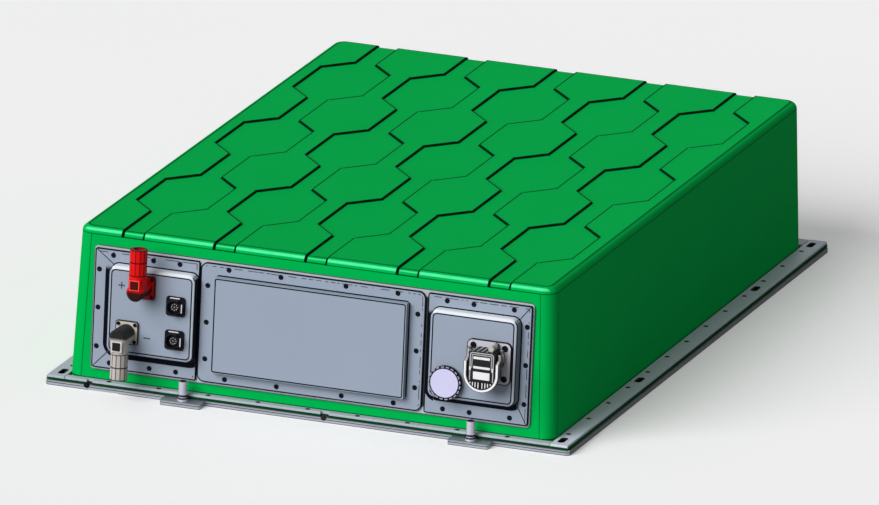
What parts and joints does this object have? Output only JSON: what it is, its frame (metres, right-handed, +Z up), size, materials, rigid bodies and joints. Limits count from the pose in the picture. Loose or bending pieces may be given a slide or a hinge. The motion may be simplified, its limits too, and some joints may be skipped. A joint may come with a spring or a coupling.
{
  "type": "battery energy storage pack",
  "caption": "Liquid-cooled battery pack for an energy storage rack: drafted green cover with recessed channels, front panels, swivel power plugs and a lever service disconnect.",
  "frame": {"origin": "centre of the tray's underside, on the base", "axes": "+X to the right seen from the front, +Y from the connector wall to the back, +Z up"},
  "size_m": [0.808, 1.1793, 0.24],
  "materials": {
    "plate": "satin",
    "tube": "satin",
    "cover_paint": "satin",
    "panel_paint": "satin",
    "seal_rubber": "matte",
    "screw_steel": "satin",
    "dark_screw": "satin",
    "black_plastic": "matte",
    "dark_plastic": "matte",
    "red_plastic": "semi-gloss",
    "brown_plastic": "semi-gloss",
    "lever_plastic": "semi-gloss",
    "cap_plastic": "matte",
    "contact_metal": "satin",
    "busbar_copper": "satin",
    "busbar_aluminium": "satin",
    "cell_film": "semi-gloss",
    "pad": "matte",
    "sheet": "matte",
    "flex": "matte",
    "membrane": "matte",
    "board": "matte"
  },
  "bodies": {
    "root": {"channel_plate": "plate", "cooling_plate": "plate", "inlet_spigot": "tube", "outlet_spigot": "tube", "port_rings": "seal_rubber", "perimeter_seal": "seal_rubber", "cover": "cover_paint", "left_strip": "panel_paint", "right_strip": "panel_paint", "front_strip": "panel_paint", "back_strip": "panel_paint", "flange_screws": "dark_screw", "frame_plate": "panel_paint", "panel_seals": "seal_rubber", "left_panel": "panel_paint", "middle_panel": "panel_paint", "right_panel": "panel_paint", "panel_screws": "dark_screw", "positive_receptacle": "red_plastic", "negative_receptacle": "brown_plastic", "power_contacts": "contact_metal", "power_screws": "screw_steel", "signal_out_receptacle": "black_plastic", "signal_in_receptacle": "black_plastic", "signal_inserts": "dark_plastic", "disconnect_receptacle": "black_plastic", "disconnect_screws": "screw_steel", "disconnect_jaws": "contact_metal", "vent_body": "black_plastic", "vent_nut": "screw_steel", "vent_cap": "cap_plastic", "vent_membrane": "membrane", "thermal_pads": "pad", "cell_row_1": "cell_film", "cell_row_2": "cell_film", "cell_row_3": "cell_film", "cell_row_4": "cell_film", "end_plates": "busbar_aluminium", "side_plates": "busbar_aluminium", "cell_busbars": "busbar_aluminium", "sampling_strips": "flex", "mica_sheet": "sheet", "positive_busbar": "busbar_copper", "negative_busbar": "busbar_copper", "disconnect_busbars": "busbar_copper", "bmu_case": "black_plastic", "bmu_board": "board"},
    "positive_elbow": {"positive_plug": "red_plastic", "positive_socket": "contact_metal", "positive_gland_nut": "red_plastic", "positive_cable_seal": "seal_rubber"},
    "positive_release": {"positive_button": "red_plastic"},
    "negative_elbow": {"negative_plug": "brown_plastic", "negative_socket": "contact_metal", "negative_gland_nut": "brown_plastic", "negative_cable_seal": "seal_rubber"},
    "negative_release": {"negative_button": "black_plastic"},
    "fuse_plug": {"disconnect_plug": "black_plastic", "disconnect_blades": "contact_metal"},
    "lever": {"disconnect_lever": "lever_plastic"}
  },
  "joints": [
    {"name": "positive_swivel", "type": "hinge", "parent": "root", "child": "positive_elbow", "pos_m": [-0.2529, -0.57881, 0.16811], "axis": [0, -0.9993, 0.0366], "range_deg": [-120, 120]},
    {"name": "positive_button_press", "type": "slide", "parent": "positive_elbow", "child": "positive_release", "axis": [0, 0.9993, -0.0366], "range_m": [0, 0.002], "stiffness_N_per_m": 700, "springref_m": -0.0005},
    {"name": "negative_swivel", "type": "hinge", "parent": "root", "child": "negative_elbow", "pos_m": [-0.2765, -0.58139, 0.09766], "axis": [0, -0.9993, 0.0366], "range_deg": [-120, 120]},
    {"name": "negative_button_press", "type": "slide", "parent": "negative_elbow", "child": "negative_release", "axis": [0, 0.9993, -0.0366], "range_m": [0, 0.002], "stiffness_N_per_m": 700, "springref_m": -0.0005},
    {"name": "plug_slide", "type": "slide", "parent": "root", "child": "fuse_plug", "axis": [0, -0.9993, 0.0366], "range_m": [0, 0.008]},
    {"name": "lever_turn", "type": "hinge", "parent": "fuse_plug", "child": "lever", "pos_m": [0.2796, -0.59415, 0.13165], "axis": [-1, 0, 0], "range_deg": [0, 90]}
  ],
  "couplings": [
    {"joint": "lever_turn", "follows": "plug_slide", "rad_per_m": 196.35}
  ]
}
